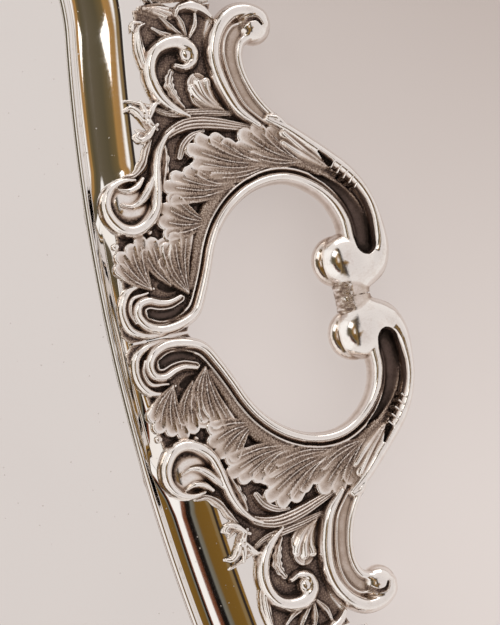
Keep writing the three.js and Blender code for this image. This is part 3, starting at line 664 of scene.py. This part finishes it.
def border_shell(length):
    """A shell of the border: fluted fan between two small scrolls."""
    half = length / 2
    r = Relief((0.1, length - 0.1), (17, 66), BORDER_STEP)
    edge = [(0.3, 25), (half - 12, 23), (half - 5, 21), (half, 19.6), (half + 5, 21),
            (half + 12, 23), (length - 0.3, 25), (length - 0.3, 50), (length - 6, 52),
            (half + 20, 55), (half + 12, 59), (half, 60), (half - 12, 59), (half - 20, 55),
            (6, 52), (0.3, 50)]
    r.sheet(edge, GROUND_HEIGHT, GROUND_TONE)
    for k in range(9):
        a = math.radians(22 + 17 * k)
        tip = 30 if k == 4 else 28 - 0.5 * abs(k - 4)
        points = [(half + s * math.cos(a), 29 + s * math.sin(a)) for s in (5, 12, 20, tip)]
        r.stroke(points, [0.8, 1.7, 2.7, 3.2], [3, 3.8, 4.8, 4.6], ribbed(3, 0.3), 0.5, 0.05, 0.15)
    for side in (-1, 1):
        points = [(half + side * x, y) for x, y in (
            (21, 46), (25.6, 45.4), (28, 41), (26.4, 35.4), (20, 30.6), (12, 27), (5, 24.6))]
        r.stroke(points, [1.2, 2, 2.2, 2.1, 1.9, 1.6, 1], [3.6, 4.6, 4.8, 4, 3], base=0.4)
        for y in (30, 35.6):
            r.stroke([(half + side * (half - 1), y + 6), (half + side * (half - 4), y + 1)],
                     [0.8, 1.3], [2, 2.6], ribbed(2, 0.4), 0.4, 0.1)
    r.dome((half, 28.6), 4.4, 4.4, 1)
    for k in range(5):
        a = math.radians(200 + 35 * k)
        r.dome((half + 6.4 * math.cos(a), 28 + 6.4 * math.sin(a)), 1.5, 1.6, 1)
    r.stroke([(0.2, 49.6), (half - 22, 53.4), (half - 12, 58.6), (half, 60), (half + 12, 58.6),
              (half + 22, 53.4), (length - 0.2, 49.6)], [1.5, 1.8, 1.5], [4.4, 4.8, 4.4])
    return relief_arrays(r, r.finish(BORDER_OXIDE, PUNCH_DEPTH))


# ======== places on the tray: x and y in the plan, and whether a relief's faces are turned over
def shoulder_point(heading, offset):
    r = SHOULDER_RADIUS + offset
    return SHOULDER_X + r * np.sin(heading), SHOULDER_Y - r * np.cos(heading)


def side_point(angle, offset):
    r = SIDE_RADIUS + offset
    return r * np.sin(angle), FIELD_HALF_WIDTH - SIDE_RADIUS + r * np.cos(angle)


def border_place(sx, sy, start):
    def place(run, reach):
        run = run + start
        ax, ay = shoulder_point(CORNER_START + run / (SHOULDER_RADIUS + BORDER_MID), reach)
        bx, by = side_point(SIDE_ANGLE - (run - SHOULDER_RUN) / (SIDE_RADIUS + BORDER_MID), reach)
        on_corner = run <= SHOULDER_RUN
        x, y = np.where(on_corner, ax, bx), np.where(on_corner, ay, by)
        return sx * x, sy * y, sx * sy > 0
    return place


def side_centre_place(sy):
    def place(run, reach):
        x, y = side_point((run - SIDE_CENTRE_HALF) / (SIDE_RADIUS + BORDER_MID), reach)
        return x, sy * y, sy < 0
    return place


def handle_place(end, side):
    def place(x, y):
        return end * (FIELD_HALF_LENGTH + HANDLE_SET + x), end * side * y, side < 0
    return place


# ======== plate
def outline():
    """Points round the field edge, and their outward directions."""
    quarter = []
    for a in np.linspace(0, END_ANGLE, 110, endpoint=False):
        quarter.append((END_CENTRE_X - END_RADIUS * math.cos(a), END_RADIUS * math.sin(a),
                        math.cos(a), -math.sin(a)))
    for h in np.linspace(SHOULDER_START, SHOULDER_END, 90, endpoint=False):
        x, y = shoulder_point(h, 0)
        quarter.append((x, y, math.sin(h), -math.cos(h)))
    for b in np.linspace(SIDE_ANGLE, 0, 50, endpoint=False):
        x, y = side_point(b, 0)
        quarter.append((x, y, math.sin(b), math.cos(b)))
    quarter.append((0, FIELD_HALF_WIDTH, 0, 1))
    q = np.array(quarter)
    flip_x, flip_y = np.array([-1, 1, -1, 1]), np.array([1, -1, 1, -1])
    upper = np.vstack([q, (q[:-1] * flip_x)[::-1]])
    return np.vstack([upper, (upper[1:-1] * flip_y)[::-1]])


def cove_rise(share):
    """Height of the cove, 0 to 1, from its list of slopes."""
    at, slope = np.array(COVE_SLOPES, float).T
    fine = np.linspace(0, 1, 400)
    steep = np.tan(np.radians(np.interp(fine, at, slope)))
    rise = np.concatenate([[0], np.cumsum((steep[1:] + steep[:-1]) / 2)])
    return np.interp(share, fine, rise / rise[-1])


def plate_section(cove_end, reach):
    """Distances out from the field edge and heights of the top surface."""
    bead = np.linspace(0, COVE_START, 16, endpoint=False)
    cove = np.linspace(0, 1, 40, endpoint=False)
    flat = np.linspace(0, 1, 4)
    low = SHEET + LAND_RISE
    bead_z = SHEET + LAND_RISE * np.clip(bead / LAND_ROUND, 0, 1) ** 2
    bead_z += BEAD_RISE * np.sin(np.clip((bead - BEAD_START) / BEAD_WIDTH, 0, 1) * math.pi) ** 0.8
    bead_z[1] = SHEET - GROOVE_DEPTH
    t = np.concatenate([bead, COVE_START + cove * (cove_end - COVE_START),
                        cove_end + flat * (reach - cove_end)])
    z = np.concatenate([bead_z, low + cove_rise(cove) * (FLANGE_TOP - low),
                        np.full(len(flat), FLANGE_TOP)])
    return t, z


def tray_plate(name, material):
    """One formed sheet: field, bead, cove and flange, cut back where the handle opens."""
    rows = []
    for x, y, nx, ny in outline():
        across = abs(y) if abs(x) > FIELD_HALF_LENGTH - 1 else HANDLE_LENGTH
        cove_end = np.interp(across, *np.array(TONGUE, float).T)
        reach = np.interp(across, *np.array(NECK, float).T)
        t, z = plate_section(float(cove_end), float(reach))
        top = np.stack([x + nx * t, y + ny * t, z], 1)
        under = np.vstack([top[:0:-3], top[:1]])
        under[:, 2] -= SHEET
        rows.append(np.vstack([top, under]))
    rows = np.array(rows)
    index = np.arange(rows.shape[0] * rows.shape[1]).reshape(rows.shape[:2])
    after = np.roll(index, -1, 0)
    faces = np.stack([index[:, :-1], index[:, 1:], after[:, 1:], after[:, :-1]], -1).reshape(-1, 4)
    piece = make_mesh(name, rows.reshape(-1, 3), faces, material)
    close_mesh(piece)
    for face in piece.data.polygons:
        if len(face.vertices) > 4:
            face.use_smooth = False
    return piece


def solder_joint(name, end, material):
    """The rough collar of solder between the two balls of a handle."""
    around, along = 96, 60
    angle = np.linspace(0, 2 * math.pi, around, endpoint=False)
    a, v = np.meshgrid(angle, np.linspace(-1, 1, along))
    lumps = np.random.RandomState(4).rand(along, around) - 0.5
    rough = 4 * blur(np.hstack([lumps] * 3), 1.5)[:, around:2 * around]
    lumps = JOINT_LUMPS * np.clip(rough, -0.7, 0.7) * (1 - v**4)
    radius = JOINT_RADIUS + JOINT_FLARE * v**2 + lumps
    x = end * (FIELD_HALF_LENGTH + HANDLE_SET + JOINT_CENTRE
               + JOINT_WIDE * radius * np.cos(a))
    z = SEAM + JOINT_FLAT * radius * np.sin(a)
    points = np.stack([x, JOINT_HALF_LENGTH * v, z], -1).reshape(-1, 3)
    index = np.arange(around * along).reshape(along, around)
    after = np.roll(index, -1, 1)
    faces = np.stack([index[:-1], after[:-1], after[1:], index[1:]], -1).reshape(-1, 4)
    oxide = np.clip(0.3 - 0.8 * rough, 0, 0.62).ravel()
    piece = make_mesh(name, points, faces, material, oxide)
    close_mesh(piece)
    return piece


# ======== materials
def feed(tree, node, inputs):
    """Sets or links inputs of a node."""
    for key, value in inputs.items():
        if isinstance(value, bpy.types.NodeSocket):
            tree.links.new(value, node.inputs[key])
        else:
            node.inputs[key].default_value = value


def put(tree, kind, inputs=None, **settings):
    """Adds a node with its settings and inputs."""
    node = tree.nodes.new(kind)
    for key, value in settings.items():
        setattr(node, key, value)
    feed(tree, node, inputs or {})
    return node


def ramp(tree, factor, stops):
    """A colour ramp from (position, colour) stops."""
    node = put(tree, "ShaderNodeValToRGB", {0: factor})
    bar = node.color_ramp
    while len(bar.elements) < len(stops):
        bar.elements.new(0.5)
    for element, (position, colour) in zip(bar.elements, stops):
        element.position = position
        element.color = (*colour, 1)
    return node.outputs[0]


def calc(tree, operation, a, b=0.0, c=0.0, clamp=False):
    return put(tree, "ShaderNodeMath", {0: a, 1: b, 2: c}, operation=operation,
               use_clamp=clamp).outputs[0]


def spread(tree, value, low, high, to_low=0.0, to_high=1.0):
    """Maps low..high smoothly to another range."""
    return put(tree, "ShaderNodeMapRange", {0: value, 1: low, 2: high, 3: to_low, 4: to_high},
               interpolation_type="SMOOTHSTEP").outputs[0]


def mixed(tree, factor, a, b):
    a, b = ((*value, 1) if isinstance(value, tuple) else value for value in (a, b))
    return put(tree, "ShaderNodeMix", {0: factor, 6: a, 7: b}, data_type="RGBA").outputs[2]


def varied(tree, value, texture, amount, clamp=False):
    """The value, moved up and down by a texture."""
    return calc(tree, "MULTIPLY_ADD", calc(tree, "SUBTRACT", texture, 0.5), amount, value, clamp)


def new_material(name):
    material = bpy.data.materials.new(name)
    material.use_nodes = True
    tree = material.node_tree
    shader = tree.nodes["Principled BSDF"]
    place = put(tree, "ShaderNodeTexCoord").outputs["Object"]
    return material, tree, shader, place


def noise(tree, place, scale, detail=2.0, roughness=0.5):
    return put(tree, "ShaderNodeTexNoise", {"Vector": place, "Scale": scale, "Detail": detail,
                                            "Roughness": roughness}).outputs[0]


SILVER = (0.925, 0.9, 0.875)
# colour of cast silver against its share of oxide, up to the darkest
OXIDE_COLOURS = (
    (0.0, (0.93, 0.895, 0.865)), (0.12, (0.79, 0.705, 0.645)), (0.34, (0.45, 0.352, 0.285)),
    (0.58, (0.25, 0.182, 0.146)), (0.8, (0.15, 0.108, 0.094)))
# painted light on the floor: the first colour is its glow, the second a painted shade patch round
# SHADE_CENTRE, fading out between SHADE_RADII
FLOOR_GLOW = (0.505, 0.458, 0.438)
FLOOR_SHADE = (0.215, 0.168, 0.148)
FLOOR_REACH = 9.0
FLOOR_HEIGHT = -0.0003
SHADE_CENTRE = (0.53, 0.27, 0)
SHADE_RADII = (0.1, 0.4)


def polished_silver():
    """Mirror plate with faint cloudiness, wiping marks and specks of dust."""
    material, tree, shader, place = new_material("polished_silver")
    cloud = noise(tree, place, 9, 4)
    streak = noise(tree, put(tree, "ShaderNodeMapping", {"Vector": place, "Scale": (40, 900, 1)})
                   .outputs[0], 1, 3)
    cells = put(tree, "ShaderNodeTexVoronoi", {"Vector": place, "Scale": 420})
    picked = calc(tree, "GREATER_THAN", put(tree, "ShaderNodeSeparateColor",
                                            {0: cells.outputs["Color"]}).outputs[0], 0.72)
    dust = calc(tree, "MULTIPLY", spread(tree, cells.outputs["Distance"], 0.07, 0.13, 1, 0), picked)
    tint = mixed(tree, spread(tree, cloud, 0.35, 0.7), SILVER, (0.905, 0.88, 0.855))
    tint = mixed(tree, calc(tree, "MULTIPLY", dust, 0.45), tint, (0.6, 0.55, 0.5))
    rough = spread(tree, calc(tree, "ADD", cloud, calc(tree, "MULTIPLY", streak, 0.5)), 0.5, 1.1,
                   0.035, 0.09)
    rough = calc(tree, "MULTIPLY_ADD", dust, 0.35, rough)
    bump = put(tree, "ShaderNodeBump", {"Height": streak, "Strength": 0.02, "Distance": 0.0002})
    feed(tree, shader, {"Base Color": tint, "Metallic": 1.0, "Roughness": rough,
                        "Normal": bump.outputs[0]})
    return material


def cast_silver(name, darkest, roughest, grain):
    """Cast silver, bright where it is rubbed and brown-black with oxide in its hollows."""
    material, tree, shader, place = new_material(name)
    # the oxide attribute also holds a painted shade in the pocket of the handle's large curl
    oxide = put(tree, "ShaderNodeAttribute", attribute_name="oxide").outputs["Fac"]
    patches = noise(tree, place, 260, 4, 0.6)
    fine = noise(tree, place, 1700, 3, 0.6)
    share = varied(tree, varied(tree, oxide, patches, 0.28), fine, 0.16, True)
    colour = ramp(tree, share, OXIDE_COLOURS + ((1.0, darkest),))
    rough = varied(tree, spread(tree, share, 0.05, 0.8, 0.12, roughest), patches, 0.06)
    pits = calc(tree, "MULTIPLY", fine, spread(tree, share, 0.1, 0.6, 0.12, 1.0))
    bump = put(tree, "ShaderNodeBump", {"Height": pits, "Strength": grain, "Distance": 0.0004})
    feed(tree, shader, {"Base Color": colour, "Metallic": 1.0, "Roughness": rough,
                        "Normal": bump.outputs[0]})
    return material


# ======== studio
def studio_world():
    """A pale studio: a wall with bands of colour past the far end, and a dark boom overhead."""
    world = bpy.data.worlds.new("studio")
    bpy.context.scene.world = world
    world.use_nodes = True
    tree = world.node_tree
    tree.nodes.clear()
    way = put(tree, "ShaderNodeTexCoord").outputs["Generated"]
    x, y, z = put(tree, "ShaderNodeSeparateXYZ", {0: way}).outputs
    rise = calc(tree, "MULTIPLY", calc(tree, "ARCSINE", z), 180 / math.pi)
    turn = calc(tree, "MULTIPLY",
                calc(tree, "ARCTAN2", y, calc(tree, "MULTIPLY", x, -1)), 180 / math.pi)
    step = calc(tree, "DIVIDE", rise, 90, clamp=True)

    def bands(*stops):
        return ramp(tree, step, [(angle / 90, colour) for angle, colour in stops])

    white, grey, black = (1.0, 0.97, 0.94), (0.745, 0.7, 0.68), (0.008, 0.006, 0.005)
    base = (0.9, 0.88, 0.86)
    pale = bands((0, (0.86, 0.825, 0.8)), (30, (0.82, 0.775, 0.75)), (60, grey),
                 (90, (0.75, 0.7, 0.685)))
    upper = bands((0, base), (12, white), (25.5, white), (27, (0.13, 0.105, 0.07)),
                  (40, (0.1, 0.08, 0.045)), (48, (0.16, 0.11, 0.045)), (50, (0.4, 0.22, 0.07)),
                  (55, (0.36, 0.2, 0.07)), (57, white), (66, (0.95, 0.93, 0.9)), (76, grey))
    lower = bands((0, base), (12, white), (32, white), (33, (0.22, 0.075, 0.035)),
                  (36.5, (0.13, 0.045, 0.022)), (37.5, black), (42, black),
                  (43, (0.2, 0.19, 0.16)), (46, (0.16, 0.14, 0.1)),
                  (47.5, (0.17, 0.09, 0.018)), (64, (0.2, 0.105, 0.02)), (83, (0.27, 0.15, 0.035)),
                  (85.5, white), (90, grey))
    wall = mixed(tree, spread(tree, turn, -9, -3), lower, upper)
    aside = calc(tree, "MULTIPLY", spread(tree, turn, 46, 52, 1, 0), spread(tree, turn, -56, -48))
    sky = mixed(tree, aside, pale, wall)
    # the boom of the camera stand, which crosses overhead
    boom = spread(tree, calc(tree, "ABSOLUTE", calc(tree, "ADD", x, 0.36)), 0.09, 0.13, 1, 0)
    span = spread(tree, calc(tree, "ABSOLUTE", y), 0.72, 0.8, 1, 0)
    high = spread(tree, z, 0.25, 0.35)
    boom = calc(tree, "MULTIPLY", calc(tree, "MULTIPLY", boom, span), high)
    lit = mixed(tree, spread(tree, x, -0.4, -0.34), (0.24, 0.16, 0.07), (0.03, 0.022, 0.018))
    sky = mixed(tree, boom, sky, lit)
    below = spread(tree, z, -0.25, 0.0)
    sky = mixed(tree, below, (0.62, 0.59, 0.57), sky)
    seen = put(tree, "ShaderNodeLightPath").outputs["Is Camera Ray"]
    sky = mixed(tree, seen, sky, (0.68, 0.645, 0.62))
    out = put(tree, "ShaderNodeBackground", {0: sky, 1: 1.0})
    put(tree, "ShaderNodeOutputWorld", {0: out.outputs[0]})


def studio_floor():
    """A plain pale floor: a painted glow keeps its shadows light, and a painted shade darkens one
    side of it.
    """
    mesh = bpy.data.meshes.new("floor")
    mesh.from_pydata([(FLOOR_REACH * x, FLOOR_REACH * y, FLOOR_HEIGHT)
                      for x, y in ((-1, -1), (1, -1), (1, 1), (-1, 1))], [], [(0, 1, 2, 3)])
    floor = add_object("floor", mesh)
    material, tree, shader, place = new_material("floor")
    # painted shade: a dark patch in the floor's painted glow round SHADE_CENTRE
    apart = put(tree, "ShaderNodeVectorMath", {0: place, 1: SHADE_CENTRE}, operation="DISTANCE")
    shade = spread(tree, apart.outputs["Value"], *SHADE_RADII, 1, 0)
    light = mixed(tree, shade, FLOOR_GLOW, FLOOR_SHADE)
    mottle = spread(tree, noise(tree, place, 3, 3), 0.3, 0.7, 0.97, 1.03)
    feed(tree, shader, {"Emission Color": light, "Emission Strength": mottle, "Roughness": 0.9,
                        "Base Color": (0.34, 0.32, 0.31, 1), "Specular IOR Level": 0.0})
    mesh.materials.append(material)


def soft_box(name, place, target, size, power, colour):
    """An area light that faces its target."""
    lamp = bpy.data.lights.new(name, "AREA")
    lamp.shape = "RECTANGLE"
    lamp.size, lamp.size_y = size
    lamp.energy = power
    lamp.color = colour
    box = add_object(name, lamp)
    box.location = place
    box.rotation_euler = (Vector(target) - Vector(place)).to_track_quat("-Z", "Y").to_euler()


def camera():
    """Above the right end of the tray, leaning over the field, with a long lens."""
    lens = bpy.data.cameras.new("camera")
    lens.sensor_width = 36
    lens.lens = 126.48
    eye = add_object("camera", lens)
    eye.location = (0.10975, -0.01491, 0.67634)
    eye.rotation_euler = (0.09203, -0.28882, -0.23249)
    bpy.context.scene.camera = eye


# ======== assembly
def settle(piece, slot, *nodes):
    """Puts a piece in place of its CAD nodes."""
    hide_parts(*nodes)
    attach(piece, "root")


def settle_cast(node, arrays, place, material, slot, up=1):
    """A casting in place of one CAD node; one that faces down is closed."""
    piece = relief_piece(node + "_cast", arrays, place, material, up)
    if up < 0:
        close_mesh(piece)
    settle(piece, slot, node)


def build():
    """The plate, the two handles, and the border from the handles round to the long sides."""
    mirror = polished_silver()
    border_metal = cast_silver("cast_silver", (0.045, 0.034, 0.028), 0.5, 0.5)
    handle_metal = cast_silver("handle_silver", (0.04, 0.03, 0.025), 0.5, 0.4)
    solder = cast_silver("silver_solder", (0.06, 0.045, 0.036), 0.6, 1.0)

    plate_nodes = [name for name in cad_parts
                   if name == "tray_field" or name.startswith("rim_")]
    settle(tray_plate("tray_plate", mirror), "polished_silver", *plate_nodes)

    front, back = front_relief(), back_relief()
    for end, end_name in ((1, "right"), (-1, "left")):
        for side, side_name in ((1, "a"), (-1, "b")):
            place = handle_place(end, side)
            for half, arrays, up in (("front", front, 1), ("back", back, -1)):
                settle_cast(f"handle_{half}_{end_name}_{side_name}", arrays, place, handle_metal,
                            "handle_silver", up)
        node = f"handle_joint_{end_name}"
        settle(solder_joint(node + "_solder", end, solder), "silver_solder", node)

    mid = SHOULDER_RADIUS + BORDER_MID
    first = (CORNER_SPLITS[0] - CORNER_START) * mid
    second = (CORNER_SPLITS[1] - CORNER_START) * mid
    side_run = SIDE_RUN - SIDE_CENTRE_HALF
    stops = (
        ("end_scroll", 0, first, 1), ("corner_shell", first, second - first, 0),
        ("corner_scroll", second, SHOULDER_RUN - second, 1),
        ("side_scroll_outer", SHOULDER_RUN, side_run / 2, 2),
        ("side_scroll_inner", SHOULDER_RUN + side_run / 2, side_run / 2, 2),
    )
    for kind, start, length, repeats in stops:
        arrays = border_scroll(length, repeats) if repeats else border_shell(length)
        for sx, end_name in ((1, "right"), (-1, "left")):
            for sy, side_name in ((1, "rear"), (-1, "front")):
                settle_cast(f"{kind}_{end_name}_{side_name}", arrays, border_place(sx, sy, start),
                            border_metal, "cast_silver")
    arrays = border_shell(2 * SIDE_CENTRE_HALF)
    for sy, side_name in ((1, "rear"), (-1, "front")):
        settle_cast(f"side_shell_{side_name}", arrays, side_centre_place(sy), border_metal,
                    "cast_silver")


camera()
studio_world()
studio_floor()
soft_box("soft_box_left", (-0.55, 0.75, 0.95), (0.3, 0, 0), (0.5, 0.5), 1.3, (1, 0.97, 0.94))
soft_box("soft_box_rear", (0.5, 1.3, 0.25), (0.3, 0, 0), (1.1, 0.45), 2.4, (1, 0.98, 0.96))
build()
bpy.context.scene.view_settings.view_transform = "Standard"
